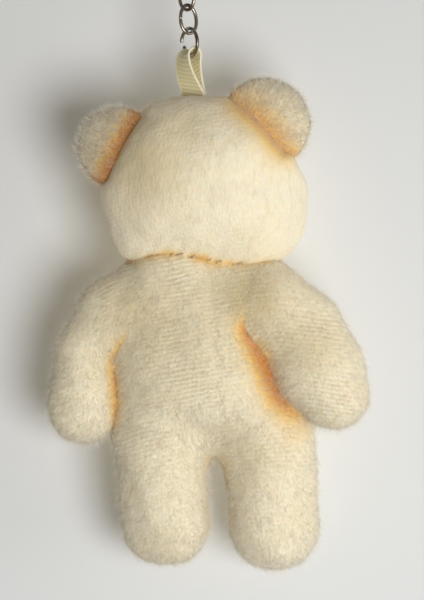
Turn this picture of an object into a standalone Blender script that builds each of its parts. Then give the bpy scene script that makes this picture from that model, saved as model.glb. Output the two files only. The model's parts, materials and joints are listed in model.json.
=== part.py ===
"""A small plush teddy bear on a key chain: split ring, four links, open jump ring, ribbon loop and bear.

Frame: metres, +Z up, origin at the centre of the split ring. The object hangs at rest. The bear faces -Y,
so its left side is on +X. Soft limbs are separate pieces that turn on the lines where the fabric flexes.
"""

from math import cos, pi, radians, sin

import bmesh
import bpy
from mathutils import Matrix, Vector
from mathutils.bvhtree import BVHTree

MM = 0.001
GAP = 0.3 * MM  # clearance between pieces that touch

# Split ring: two turns of flat wire
RING_OUTER_R = 12.5 * MM
RING_WIRE_WIDTH = 1.9 * MM  # radial
RING_WIRE_THICK = 1.2 * MM  # along the ring's axis
RING_TURN_GAP = 0.2 * MM
RING_STEP_ANGLE = radians(30)  # where the wire steps from one turn to the other
RING_START_ANGLE = radians(20)  # where the wire's outer end lies
RING_POINTS_PER_TURN = 30
RING_SECTION = ((1, 0.7), (0.7, 1), (-0.7, 1), (-1, 0.7), (-1, -0.7), (-0.7, -1), (0.7, -1), (1, -0.7))
RING_CLEARANCE = 0.75 * MM  # the first link swings round the ring's square section

# Azimuth of each upright ring's plane from the X axis. Neighbours cross at about a quarter turn.
RING_AZIMUTH = radians(40)
LINK_AZIMUTHS = (radians(-50), radians(45), radians(-37), radians(30))
JUMP_AZIMUTH = radians(-57)

# Oval chain links and the open jump ring, sizes over the outside
LINK_LENGTH = 8.0 * MM
LINK_WIDTH = 5.4 * MM
LINK_WIRE = 0.9 * MM
LINK_POINTS = 18
JUMP_LENGTH = 7.8 * MM
JUMP_WIDTH = 7.6 * MM
JUMP_GAP_ANGLE = radians(16)
JUMP_SPREAD = 0.35 * MM  # each end stands this far out of the ring's plane

# Ribbon loop sewn into the crown of the head
RIBBON_WIDTH = 6.0 * MM
RIBBON_TOP_WIDTH = 4.6 * MM  # bunched where it sits in the jump ring
RIBBON_TOP_AZIMUTH = radians(-55)
RIBBON_FOOT_AZIMUTH = radians(-20)
RIBBON_REST = 0.4 * MM  # between the wire and the bend over it
RIBBON_COLUMNS = 6
RIBBON_THICK = 0.5 * MM
RIBBON_HEIGHT = 10.8 * MM
RIBBON_BULGE = 2.0 * MM  # half the loop's width inside
RIBBON_FOOT = 0.55 * MM  # half the distance between the strips at the crown

# Fabric shells
WALL = 0.8 * MM
SEAM_GAP = 1.0 * MM  # between a front and a back panel, whose rims lean towards each other
STUFFING_INSET = WALL + 0.4 * MM
LIMB_CLEARANCE = 0.6 * MM
CAPSULE_FULLNESS = 1.09  # makes up for what Subdivision Surface takes off a limb's few sections

# Bear, measured from the crown, where the ribbon leaves the head
HEAD_CENTRE = Vector((-1.0, 1.0, -21.3)) * MM
HEAD_TILT = radians(4.7)
NECK = Vector((0.5, 0.0, -40.8)) * MM
NECK_HALF_WIDTH = 19.0 * MM
NECK_HALF_DEPTH = 11.0 * MM
ARM_LEFT = {"top": (27.5, 2.0, -56.1), "end": (33.0, 2.0, -76.6), "half_width": 7.9, "half_depth": 9.0}
ARM_RIGHT = {"top": (-21.5, 6.0, -59.1), "end": (-28.3, 6.0, -75.3), "half_width": 10.2, "half_depth": 9.0}
LEG_LEFT = {"top": (14.4, 0.0, -91.1), "end": (14.7, 0.0, -105.6), "half_width": 11.3, "half_depth": 11.3}
LEG_RIGHT = {"top": (-12.9, 0.0, -91.1), "end": (-12.9, 0.0, -108.4), "half_width": 11.7, "half_depth": 11.5}

# Swings that the torso leaves room for: (axis, angles in degrees)
ARM_LEFT_SWING = ((0, -1, 0), (0, 13, 26, 40))
ARM_RIGHT_SWING = ((0, 1, 0), (0, 13, 26, 40))
LEG_SWING = ((-1, 0, 0), (-15, 0, 12, 25))

# Head and torso outlines: (height, half width, half depth, shift along Y), in mm
HEAD_SECTIONS = [
    (19.8, 11.0, 9.0, 0.0),
    (14.6, 19.3, 15.0, 0.0),
    (6.5, 25.2, 18.8, 0.0),
    (-3.0, 26.8, 19.8, 0.0),
    (-11.5, 24.9, 17.5, 0.0),
    (-17.4, 20.8, 12.5, -0.5),
]
HEAD_TOP, HEAD_BOTTOM = 21.4, -19.4
TORSO_SECTIONS = [
    (-42.0, 19.5, 11.5, 0.0),
    (-46.5, 23.0, 14.5, 0.0),
    (-58.0, 24.0, 17.0, -0.5),
    (-73.0, 24.8, 18.0, -1.0),
    (-84.0, 25.0, 16.5, -1.0),
    (-89.5, 22.5, 14.0, -0.5),
]
TORSO_TOP, TORSO_BOTTOM = -41.0, -90.8
TORSO_SHIFT_X = 0.6

# Ears: (centre, lean out of the head in degrees), in mm from the crown
EARS = {"left": ((18.8, 3.5, -11.6), 55.5), "right": ((-17.8, 3.5, -8.0), -51.5)}
EAR_RADIUS = 10.8
EAR_HALF_DEPTH = 3.4
EAR_CLEARANCE = 1.1 * MM

# Hand stitches round the neck
THREAD_R = 0.35 * MM
STITCH_COUNT = 12
STITCH_POINTS = 4  # points of the thread in each stitch
STITCH_WAVE = 0.45 * MM

# Face. Sizes are half sizes, and heights are from the middle of the head or of the muzzle.
EYE_SIZE = Vector((2.3, 1.5, 2.3)) * MM
EYE_SPACING = 9.5 * MM  # from the middle of the face
EYE_HEIGHT = 2.5 * MM
EYE_PROUD = 0.3 * MM
EYE_MESH = (12, 8)  # segments and rings
MUZZLE_SIZE = Vector((8.5, 4.5, 6.5)) * MM
MUZZLE_HEIGHT = -5.5 * MM
MUZZLE_MESH = (16, 8)
MUZZLE_ROOM_MESH = (24, 12)
NOSE_SIZE = Vector((2.9, 1.4, 2.0)) * MM
NOSE_HEIGHT = 2.6 * MM
NOSE_MESH = (12, 6)
MOUTH_POINTS = 9
MOUTH_STEP = 1.1 * MM  # sideways from point to point
MOUTH_TOP = -1.4 * MM
MOUTH_DIP = 1.2 * MM  # how far the middle hangs below the corners

CREAM = (0.72, 0.62, 0.43)
COLOURS = {
    "steel": (0.55, 0.53, 0.5, 0.25, 1.0),
    "ribbon": (0.55, 0.48, 0.27, 0.8, 0.0),
    "plush": (*CREAM, 0.95, 0.0),
    "stuffing": (0.85, 0.85, 0.83, 1.0, 0.0),
    "thread": (0.45, 0.27, 0.11, 0.8, 0.0),
    "bead": (0.01, 0.01, 0.01, 0.15, 0.0),
    "embroidery": (0.05, 0.03, 0.02, 0.7, 0.0),
}

UP = Vector((0, 0, 1))


def clear_scene():
    for obj in list(bpy.data.objects):
        bpy.data.objects.remove(obj)
    for collection in list(bpy.data.collections):
        bpy.data.collections.remove(collection)


def new_collection(name):
    collection = bpy.data.collections.new(name)
    bpy.context.scene.collection.children.link(collection)
    return collection


def new_material(name, look):
    red, green, blue, roughness, metallic = COLOURS[look]
    material = bpy.data.materials.new(name)
    material.use_nodes = True
    shader = material.node_tree.nodes["Principled BSDF"]
    shader.inputs["Base Color"].default_value = (red, green, blue, 1.0)
    shader.inputs["Roughness"].default_value = roughness
    shader.inputs["Metallic"].default_value = metallic
    return material


def new_pivot(name, location, parent=None):
    """An empty on a joint's axis. Its location is in world space, whatever its parent."""
    pivot = bpy.data.objects.new(name, None)
    pivot.empty_display_size = 3 * MM
    PARTS.objects.link(pivot)
    pivot.parent = parent
    home = parent["at"] if parent else (0.0, 0.0, 0.0)
    pivot.location = Vector(location) - Vector(home)
    pivot["at"] = tuple(location)
    return pivot


def add_part(name, mesh, pivot, look):
    """A finished mesh, given in world space, as a named part that turns with its pivot."""
    at = Vector(pivot["at"])
    mesh.transform(Matrix.Translation(-at))
    mesh.name = name
    mesh.materials.clear()
    mesh.materials.append(new_material(name, look))
    mesh.shade_smooth()
    part = bpy.data.objects.new(name, mesh)
    PARTS.objects.link(part)
    part.parent = pivot
    return part


def add_cutter(name, mesh):
    cutter = bpy.data.objects.new(name, mesh)
    CUTTERS.objects.link(cutter)
    cutter.hide_render = True
    cutter.display_type = "WIRE"
    return cutter


def cut(part, cutters):
    for cutter in cutters:
        modifier = part.modifiers.new("Cut " + cutter.name, "BOOLEAN")
        modifier.object = cutter
        modifier.operation = "DIFFERENCE"
        modifier.solver = "MANIFOLD"  # EXACT drops thin shells here, and both meshes are closed


def evaluated_mesh(obj):
    """The mesh of an object with its modifiers applied. The object itself is removed."""
    graph = bpy.context.evaluated_depsgraph_get()
    mesh = bpy.data.meshes.new_from_object(obj.evaluated_get(graph))
    mesh.transform(obj.matrix_world)
    bpy.data.objects.remove(obj)
    return mesh


def wire_mesh(points, radius, cyclic):
    """A round wire along the points."""
    curve = bpy.data.curves.new("wire", "CURVE")
    curve.dimensions = "3D"
    curve.twist_mode = "Z_UP"
    curve.bevel_depth = radius
    curve.bevel_resolution = 2
    curve.use_fill_caps = not cyclic
    spline = curve.splines.new("POLY")
    spline.points.add(len(points) - 1)
    for point, place in zip(spline.points, points):
        point.co = (*place, 1.0)
    spline.use_cyclic_u = cyclic
    holder = bpy.data.objects.new("wire", curve)
    bpy.context.scene.collection.objects.link(holder)
    mesh = evaluated_mesh(holder)
    bm = bmesh.new()
    bm.from_mesh(mesh)
    bmesh.ops.remove_doubles(bm, verts=bm.verts, dist=0.001 * MM)
    bm.to_mesh(mesh)
    bm.free()
    return mesh


# ---------------------------------------------------------------- metal and ribbon


def across(azimuth):
    """The horizontal direction of an upright ring's plane."""
    return Vector((cos(azimuth), sin(azimuth), 0))


def split_ring_mesh():
    """A flat wire wound twice round: it steps from one turn to the other opposite its two ends."""
    side = across(RING_AZIMUTH)
    axis = side.cross(UP)
    pitch = RING_WIRE_THICK + RING_TURN_GAP
    middle_r = RING_OUTER_R - RING_WIRE_WIDTH / 2
    total = 4 * pi - RING_STEP_ANGLE
    count = 2 * RING_POINTS_PER_TURN
    points = []
    for i in range(count + 1):
        angle = total * i / count
        from_middle = (angle - total / 2) / (RING_STEP_ANGLE / 2)
        blend = max(-1.0, min(1.0, from_middle))
        offset = -0.5 * pitch * blend * (3 - blend * blend) / 2
        place = RING_START_ANGLE + angle
        around = middle_r * (cos(place) * side + sin(place) * UP)
        points.append(around + offset * axis)
    return flat_wire_mesh(points, axis)


def flat_wire_mesh(points, axis):
    """A strip of rectangular wire swept along points that circle the axis."""
    bm = bmesh.new()
    rings = []
    for point in points:
        outward = (point - point.dot(axis) * axis).normalized()
        radial = 0.5 * RING_WIRE_WIDTH * outward
        axial = 0.5 * RING_WIRE_THICK * axis
        ring = []
        for a, b in RING_SECTION:
            ring.append(bm.verts.new(point + a * radial + b * axial))
        rings.append(ring)
    join_rings(bm, rings)
    bm.faces.new(rings[0])
    bm.faces.new(list(reversed(rings[-1])))
    bmesh.ops.recalc_face_normals(bm, faces=bm.faces)
    mesh = bpy.data.meshes.new("flat_wire")
    bm.to_mesh(mesh)
    bm.free()
    return mesh


def oval(azimuth, centre_z, length, width, wire, count, gap=0.0, spread=0.0):
    """Points of an upright oval ring. A gap opens it on its +side, and spread parts its ends sideways."""
    side = across(azimuth)
    normal = side.cross(UP)
    steps = count if gap == 0 else count - 1
    points = []
    for i in range(count):
        share = i / steps
        angle = gap / 2 + share * (2 * pi - gap)
        place = (width - wire) / 2 * cos(angle) * side + (length - wire) / 2 * sin(angle) * UP
        points.append(place + centre_z * UP + spread * (2 * share - 1) * normal)
    return points


def add_chain():
    """Split ring, links and jump ring. Returns the last pivot and the height of its lower wire."""
    ring = new_pivot("pivot_split_ring", (0, 0, 0))
    add_part("split_ring", split_ring_mesh(), ring, "steel")
    joint_z = -(RING_OUTER_R - RING_WIRE_WIDTH / 2)
    rise = RING_WIRE_WIDTH / 2 + RING_CLEARANCE + LINK_WIRE / 2
    pivot = ring
    for i, azimuth in enumerate(LINK_AZIMUTHS):
        centre_z = joint_z + rise - (LINK_LENGTH - LINK_WIRE) / 2
        name = f"chain_link_{i + 1}"
        pivot = new_pivot("pivot_" + name, (0, 0, joint_z), pivot)
        points = oval(azimuth, centre_z, LINK_LENGTH, LINK_WIDTH, LINK_WIRE, LINK_POINTS)
        add_part(name, wire_mesh(points, LINK_WIRE / 2, True), pivot, "steel")
        joint_z = centre_z - (LINK_LENGTH - LINK_WIRE) / 2
        rise = LINK_WIRE + GAP
    centre_z = joint_z + rise - (JUMP_LENGTH - LINK_WIRE) / 2
    pivot = new_pivot("pivot_jump_ring", (0, 0, joint_z), pivot)
    points = oval(JUMP_AZIMUTH, centre_z, JUMP_LENGTH, JUMP_WIDTH, LINK_WIRE, LINK_POINTS + 4,
                  JUMP_GAP_ANGLE, JUMP_SPREAD)
    add_part("jump_ring", wire_mesh(points, LINK_WIRE / 2, False), pivot, "steel")
    return pivot, centre_z - (JUMP_LENGTH - LINK_WIRE) / 2


def ribbon_path():
    """Middle line of the ribbon, as (half opening, height over the foot), up one side to the top."""
    straight = RIBBON_HEIGHT - RIBBON_BULGE
    side = []
    for i in range(7):
        share = i / 6
        opening = RIBBON_FOOT + (RIBBON_BULGE - RIBBON_FOOT) * sin(share * pi / 2)
        side.append((opening, share * straight))
    bend = [(RIBBON_BULGE * cos(a), straight + RIBBON_BULGE * sin(a)) for a in (pi / 6, pi / 3, pi / 2)]
    return side + bend


def ribbon_row(opening, height, foot_z):
    """Points across the ribbon at one height. Near the top it follows the jump ring's round wire."""
    share = height / RIBBON_HEIGHT
    along = across(RIBBON_FOOT_AZIMUTH + share * (RIBBON_TOP_AZIMUTH - RIBBON_FOOT_AZIMUTH))
    out = along.cross(UP)
    width = RIBBON_WIDTH + share * (RIBBON_TOP_WIDTH - RIBBON_WIDTH)
    wire_half_width = (JUMP_WIDTH - LINK_WIRE) / 2
    wire_half_height = (JUMP_LENGTH - LINK_WIRE) / 2
    row = []
    for i in range(RIBBON_COLUMNS + 1):
        shift = width * (i / RIBBON_COLUMNS - 0.5)
        rise = wire_half_height * (1 - (1 - (shift / wire_half_width) ** 2) ** 0.5)
        lift = rise * max(0.0, share - 0.4) / 0.6
        row.append(shift * along + opening * out + (foot_z + height + lift) * UP)
    return row


def add_ribbon(pivot, wire_z):
    """The ribbon loop over the jump ring's lower wire. Returns its pivot and the crown's height."""
    foot_z = wire_z + LINK_WIRE / 2 + RIBBON_REST + RIBBON_THICK / 2 - RIBBON_HEIGHT
    path = ribbon_path()
    path += [(-opening, height) for opening, height in reversed(path[:-1])]
    bm = bmesh.new()
    rows = [[bm.verts.new(place) for place in ribbon_row(*step, foot_z)] for step in path]
    for lower, upper in zip(rows, rows[1:]):
        for i in range(RIBBON_COLUMNS):
            bm.faces.new((lower[i], lower[i + 1], upper[i + 1], upper[i]))
    mesh = bpy.data.meshes.new("ribbon")
    bm.to_mesh(mesh)
    bm.free()
    loop = new_pivot("pivot_ribbon_loop", (0, 0, wire_z), pivot)
    ribbon = add_part("ribbon_loop", mesh, loop, "ribbon")
    solidify = ribbon.modifiers.new("Thickness", "SOLIDIFY")
    solidify.thickness = RIBBON_THICK
    solidify.offset = 0
    return loop, foot_z


# ---------------------------------------------------------------- soft forms


def join_rings(bm, rings):
    for upper, lower in zip(rings, rings[1:]):
        for i in range(len(upper)):
            j = (i + 1) % len(upper)
            bm.faces.new((upper[i], upper[j], lower[j], lower[i]))


def soft_form(sections, top, bottom, sides, grow=0.0):
    """A closed rounded body through elliptical sections, from its top pole to its bottom pole.

    A section is (centre, half width, half depth). The cage stands outside the sections, because
    Subdivision Surface draws it in. The surface is then moved out by grow.
    """
    reach = 3 / (2 + cos(2 * pi / sides))
    bm = bmesh.new()
    rings = []
    for centre, half_width, half_depth in sections:
        ring = []
        for i in range(sides):
            angle = 2 * pi * (i + 0.5) / sides
            corner = Vector((half_width * cos(angle), half_depth * sin(angle), 0)) * reach
            ring.append(bm.verts.new(centre + corner))
        rings.append(ring)
    join_rings(bm, rings)
    for pole, ring in ((top, rings[0]), (bottom, rings[-1])):
        vertex = bm.verts.new(pole)
        for i in range(sides):
            bm.faces.new((vertex, ring[i], ring[(i + 1) % sides]))
    bmesh.ops.recalc_face_normals(bm, faces=bm.faces)
    mesh = bpy.data.meshes.new("cage")
    bm.to_mesh(mesh)
    bm.free()
    holder = bpy.data.objects.new("cage", mesh)
    bpy.context.scene.collection.objects.link(holder)
    smooth = holder.modifiers.new("Soft", "SUBSURF")
    smooth.levels = 1
    smooth.render_levels = 1
    offset = holder.modifiers.new("Grow", "DISPLACE")
    offset.mid_level = 0
    offset.strength = grow
    return evaluated_mesh(holder)


def half_open(mesh, side, plane_point, plane_normal):
    """One half of a closed form, open at the seam plane. Side is +1 or -1 along the plane's normal."""
    half = mesh.copy()
    bm = bmesh.new()
    bm.from_mesh(half)
    geometry = bm.verts[:] + bm.edges[:] + bm.faces[:]
    normal = side * plane_normal
    place = plane_point + SEAM_GAP / 2 * normal
    bmesh.ops.bisect_plane(bm, geom=geometry, plane_co=place, plane_no=normal, clear_inner=True)
    bm.to_mesh(half)
    bm.free()
    return half


def add_panels(name, mesh, pivot, seam_point, seam_normal, cutters=()):
    """Front and back fabric shells of a form, sewn together round the seam plane."""
    for word, side in (("back", 1), ("front", -1)):
        half = half_open(mesh, side, seam_point, seam_normal)
        panel = add_part(f"{name}_{word}_panel", half, pivot, "plush")
        wall = panel.modifiers.new("Fabric", "SOLIDIFY")
        wall.thickness = WALL
        wall.offset = -1
        cut(panel, cutters)


def tilted(sections, top, bottom, centre, tilt):
    """Head or torso sections, given in mm from a centre, as places in the world."""
    turn = Matrix.Rotation(tilt, 3, "Y")
    places = []
    for height, half_width, half_depth, shift in sections:
        middle = centre + turn @ (Vector((0, shift, height)) * MM)
        places.append((middle, half_width * MM, half_depth * MM))
    return places, centre + turn @ (top * MM * UP), centre + turn @ (bottom * MM * UP)


def capsule(limb, crown):
    """Sections of a limb: a rounded top and end with elliptical sections between them."""
    top = Vector(limb["top"]) * MM + crown
    end = Vector(limb["end"]) * MM + crown
    half_width = limb["half_width"] * MM
    half_depth = limb["half_depth"] * MM
    steps = (radians(58), radians(20))
    sections = []
    for centre, angles, sign in ((top, steps, 1), (end, reversed(steps), -1)):
        for angle in angles:
            place = centre + sign * half_width * sin(angle) * UP
            reach = CAPSULE_FULLNESS * cos(angle)
            sections.append((place, half_width * reach, half_depth * reach))
    return sections, top + 1.02 * half_width * UP, end - 1.02 * half_width * UP


def add_limb(name, limb, swing, crown, parent):
    """A limb's panels and stuffing. Returns the cutters that keep the torso clear of its swing."""
    sections, top, bottom = capsule(limb, crown)
    pivot_at = Vector(limb["top"]) * MM + crown
    pivot = new_pivot("pivot_" + name, pivot_at, parent)
    seam = Vector((0, pivot_at.y, 0))
    across_body = Vector((0, 1, 0))
    add_panels(name, soft_form(sections, top, bottom, 6), pivot, seam, across_body)
    stuffing = soft_form(sections, top, bottom, 6, -STUFFING_INSET)
    add_part(name + "_stuffing", stuffing, pivot, "stuffing")
    axis, angles = swing
    rooms = []
    for angle in angles:
        room = soft_form(sections, top, bottom, 8, LIMB_CLEARANCE)
        turn = Matrix.Rotation(radians(angle), 4, Vector(axis))
        room.transform(Matrix.Translation(pivot_at) @ turn @ Matrix.Translation(-pivot_at))
        rooms.append(add_cutter(f"{name}_room_{angle}", room))
    return rooms


# ---------------------------------------------------------------- bear


def add_torso(crown, parent):
    neck = new_pivot("pivot_torso", crown + NECK, parent)
    rooms = []
    rooms += add_limb("arm_left", ARM_LEFT, ARM_LEFT_SWING, crown, neck)
    rooms += add_limb("arm_right", ARM_RIGHT, ARM_RIGHT_SWING, crown, neck)
    rooms += add_limb("leg_left", LEG_LEFT, LEG_SWING, crown, neck)
    rooms += add_limb("leg_right", LEG_RIGHT, LEG_SWING, crown, neck)
    centre = crown + TORSO_SHIFT_X * MM * Vector((1, 0, 0))
    sections, top, bottom = tilted(TORSO_SECTIONS, TORSO_TOP, TORSO_BOTTOM, centre, 0)
    seam = Vector((0, 0, 0))
    seam_normal = Vector((0, 1, 0))
    add_panels("torso", soft_form(sections, top, bottom, 10), neck, seam, seam_normal, rooms)
    inner = soft_form(sections, top, bottom, 10, -STUFFING_INSET)
    stuffing = add_part("torso_stuffing", inner, neck, "stuffing")
    cut(stuffing, rooms)
    add_neck_stitching(crown, neck)


def add_neck_stitching(crown, neck):
    """Hand stitches that close the neck: one thread that weaves round the seam."""
    points = []
    count = STITCH_COUNT * STITCH_POINTS
    for i in range(count):
        angle = 2 * pi * i / count
        wave = STITCH_WAVE * sin(STITCH_COUNT * angle)
        x = NECK_HALF_WIDTH * cos(angle)
        y = NECK_HALF_DEPTH * sin(angle)
        points.append(crown + NECK + Vector((x, y, wave)))
    add_part("neck_stitching", wire_mesh(points, THREAD_R, True), neck, "thread")


def add_head(crown, parent):
    pivot = new_pivot("pivot_head", crown, parent)
    centre = crown + HEAD_CENTRE
    sections, top, bottom = tilted(HEAD_SECTIONS, HEAD_TOP, HEAD_BOTTOM, centre, HEAD_TILT)
    form = soft_form(sections, top, bottom, 10)
    seam_normal = Vector((0, 1, 0))
    add_panels("head", form, pivot, centre, seam_normal)
    add_part("head_stuffing", soft_form(sections, top, bottom, 10, -STUFFING_INSET), pivot, "stuffing")
    room = add_cutter("head_room", soft_form(sections, top, bottom, 12, EAR_CLEARANCE))
    for side, (crease, lean) in EARS.items():
        add_ear(side, crown + Vector(crease) * MM, radians(lean), pivot, room)
    add_face(form, centre, pivot)
    return pivot


def add_ear(side, crease, lean, parent, room):
    """An ear of two panels: a flat round pouch, cut where it meets the head."""
    pivot = new_pivot("pivot_ear_" + side, crease, parent)
    out = Matrix.Rotation(lean, 3, "Y") @ UP
    along = Matrix.Rotation(lean, 3, "Y") @ Vector((1, 0, 0))
    turn = Matrix((along, Vector((0, 1, 0)), out)).transposed().to_4x4()
    mesh = bpy.data.meshes.new("ear")
    bm = bmesh.new()
    bmesh.ops.create_uvsphere(bm, u_segments=16, v_segments=8, radius=EAR_RADIUS * MM)
    bmesh.ops.scale(bm, vec=(1, EAR_HALF_DEPTH / EAR_RADIUS, 1), verts=bm.verts)
    bmesh.ops.transform(bm, matrix=Matrix.Translation(crease) @ turn, verts=bm.verts)
    bm.to_mesh(mesh)
    bm.free()
    add_panels("ear_" + side, mesh, pivot, crease, Vector((0, 1, 0)), [room])


def squashed_ball(half_sizes, centre, mesh_steps):
    """A ball with its own half size along each axis. The steps are its segments and rings."""
    segments, rings = mesh_steps
    bm = bmesh.new()
    bmesh.ops.create_uvsphere(bm, u_segments=segments, v_segments=rings, radius=1)
    bmesh.ops.scale(bm, vec=half_sizes, verts=bm.verts)
    bmesh.ops.translate(bm, vec=centre, verts=bm.verts)
    mesh = bpy.data.meshes.new("ball")
    bm.to_mesh(mesh)
    bm.free()
    return mesh


def grown_copy(mesh, distance):
    """A copy of a form with its surface moved out by a distance."""
    holder = bpy.data.objects.new("grown", mesh.copy())
    bpy.context.scene.collection.objects.link(holder)
    offset = holder.modifiers.new("Grow", "DISPLACE")
    offset.mid_level = 0
    offset.strength = distance
    return evaluated_mesh(holder)


def add_face(form, centre, pivot):
    """Muzzle, nose, mouth and bead eyes on the front of the head."""
    bm = bmesh.new()
    bm.from_mesh(form)
    surface = BVHTree.FromBMesh(bm)
    bm.free()

    def on_head(x, z):
        """The place on the front of the head at a given X and Z."""
        return surface.ray_cast(Vector((x, -1, z)), Vector((0, 1, 0)))[0]

    head_room = add_cutter("head_front_room", grown_copy(form, GAP))
    muzzle_at = on_head(centre.x, centre.z + MUZZLE_HEIGHT)
    add_muzzle(muzzle_at, head_room, pivot)
    for side, sign in (("left", 1), ("right", -1)):
        eye_at = on_head(centre.x + sign * EYE_SPACING, centre.z + EYE_HEIGHT) - Vector((0, EYE_PROUD, 0))
        eye = add_part("eye_" + side, squashed_ball(EYE_SIZE, eye_at, EYE_MESH), pivot, "bead")
        cut(eye, [head_room])


def add_muzzle(centre, head_room, pivot):
    """A stuffed muzzle with an embroidered nose and a stitched mouth."""
    muzzle = add_part("muzzle", squashed_ball(MUZZLE_SIZE, centre, MUZZLE_MESH), pivot, "plush")
    cut(muzzle, [head_room])

    def on_muzzle(x, z):
        """How far in front of the muzzle's middle its surface lies."""
        return MUZZLE_SIZE.y * (1 - (x / MUZZLE_SIZE.x) ** 2 - (z / MUZZLE_SIZE.z) ** 2) ** 0.5

    room_size = MUZZLE_SIZE + Vector((GAP, GAP, GAP))
    muzzle_room = add_cutter("muzzle_room", squashed_ball(room_size, centre, MUZZLE_ROOM_MESH))
    nose_at = centre + Vector((0, -on_muzzle(0, NOSE_HEIGHT), NOSE_HEIGHT))
    nose = add_part("nose", squashed_ball(NOSE_SIZE, nose_at, NOSE_MESH), pivot, "embroidery")
    cut(nose, [muzzle_room])
    thread = []
    for i in range(MOUTH_POINTS):
        place = i - (MOUTH_POINTS - 1) / 2
        x = place * MOUTH_STEP
        z = MOUTH_TOP - MOUTH_DIP * abs(cos(pi * place / (MOUTH_POINTS - 1)))
        thread.append(centre + Vector((x, -on_muzzle(x, z) - THREAD_R - GAP, z)))
    add_part("mouth_stitching", wire_mesh(thread, THREAD_R, False), pivot, "embroidery")


clear_scene()
PARTS = new_collection("plush_keychain")
CUTTERS = new_collection("cutters")
jump_pivot, jump_wire_z = add_chain()
loop_pivot, crown_z = add_ribbon(jump_pivot, jump_wire_z)
crown_place = Vector((0, 0, crown_z - GAP))
head_pivot = add_head(crown_place, loop_pivot)
add_torso(crown_place, head_pivot)
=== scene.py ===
"""Looks of the plush teddy bear key chain: fabric skins with real pile, seams, ribbon, chain and face.

Lengths are in millimetres until a mesh is made, which is in metres. The bear faces -Y and hangs along Z.
"""

import json
from math import cos, pi, radians, sin, tan

import bmesh
import bpy
import numpy as np
from mathutils import Matrix, Vector, noise


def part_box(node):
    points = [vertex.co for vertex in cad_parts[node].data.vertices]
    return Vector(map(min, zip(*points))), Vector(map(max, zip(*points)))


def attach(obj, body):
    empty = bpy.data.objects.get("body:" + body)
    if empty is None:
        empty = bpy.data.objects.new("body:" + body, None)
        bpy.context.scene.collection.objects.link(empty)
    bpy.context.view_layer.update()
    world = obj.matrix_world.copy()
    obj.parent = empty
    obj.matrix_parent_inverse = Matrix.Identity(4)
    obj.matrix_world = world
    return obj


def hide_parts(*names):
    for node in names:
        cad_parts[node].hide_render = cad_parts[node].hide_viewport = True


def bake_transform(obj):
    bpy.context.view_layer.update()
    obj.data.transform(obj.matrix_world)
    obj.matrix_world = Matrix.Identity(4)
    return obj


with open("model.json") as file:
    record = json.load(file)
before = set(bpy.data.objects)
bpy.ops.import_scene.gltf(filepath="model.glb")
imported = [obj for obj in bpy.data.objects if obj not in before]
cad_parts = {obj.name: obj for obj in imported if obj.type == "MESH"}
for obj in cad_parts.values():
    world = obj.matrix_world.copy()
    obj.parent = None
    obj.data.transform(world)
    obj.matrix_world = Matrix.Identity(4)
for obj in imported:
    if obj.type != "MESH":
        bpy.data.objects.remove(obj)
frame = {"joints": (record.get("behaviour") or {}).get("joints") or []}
scene = bpy.context.scene
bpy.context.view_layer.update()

MM = 0.001
UP = np.array([0.0, 0.0, 1.0])
DOWN = -UP
BACK = np.array([0.0, 1.0, 0.0])
SIDES = ("left", "right")


def joint_at(name):
    """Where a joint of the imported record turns, in mm."""
    joint = next(joint for joint in frame["joints"] if joint["name"] == name)
    return np.array(joint["pos_m"]) / MM


def middle_of(node):
    """The middle of a CAD node's box, in mm."""
    low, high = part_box(node)
    return (np.array(low) / MM + np.array(high) / MM) / 2


CROWN = joint_at("ribbon_flex")
NECK = joint_at("neck_nod")
SHOULDER = {side: joint_at(f"arm_{side}_lift") for side in SIDES}
HIP = {side: joint_at(f"leg_{side}_swing") for side in SIDES}
EAR_BASE = {side: joint_at(f"ear_{side}_fold") for side in SIDES}

# ------- soft forms as fields, in mm


def smooth_union(a, b, k):
    h = np.clip(0.5 + 0.5 * (b - a) / k, 0, 1)
    return b * (1 - h) + a * h - k * h * (1 - h)


def smoothstep(low, high, x):
    t = np.clip((x - low) / (high - low), 0, 1)
    return t * t * (3 - 2 * t)


def bell(x, width):
    """1 at zero, falling away smoothly over the width."""
    return np.exp(-((x / width) ** 2))


def near(distances, reach):
    """1 within a form, falling away over the reach outside it."""
    return bell(np.maximum(distances, 0), reach)


def turned(p, centre, angle):
    """Points in the axes of a form that leans by an angle about Y."""
    q = p - centre
    c, s = cos(angle), sin(angle)
    return np.stack([q[:, 0] * c - q[:, 2] * s, q[:, 1], q[:, 0] * s + q[:, 2] * c], axis=1)


def cone_field(p, a, b, radius_a, radius_b, depth):
    """A limb: a rounded cone from a to b, whose depth along Y is a share of its width."""
    scale = np.array([1, 1 / depth, 1])
    q = (p - a) * scale
    axis = (b - a) * scale
    t = np.clip(q @ axis / (axis @ axis), 0, 1)
    return np.linalg.norm(q - t[:, None] * axis, axis=1) - (radius_a + (radius_b - radius_a) * t)


def pillow_field(q, half_width, half_height, half_depth, squareness):
    """A stuffed pillow with a rounded outline in XZ. Widths and heights may vary by point."""
    outline = (np.abs(q[:, 0] / half_width) ** squareness + np.abs(q[:, 2] / half_height) ** squareness) ** (
        1 / squareness
    )
    return (np.sqrt(outline**2 + (q[:, 1] / half_depth) ** 2) - 1) * half_depth


HEAD_CENTRE = CROWN + np.array([-1.0, 1.0, -21.6])
HEAD_TILT = radians(-4.7)
TORSO_CENTRE = NECK + np.array([0.0, -0.8, -27.0])
SEAM_WAVE = 1.5  # the neck seam rises and falls by this much

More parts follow.
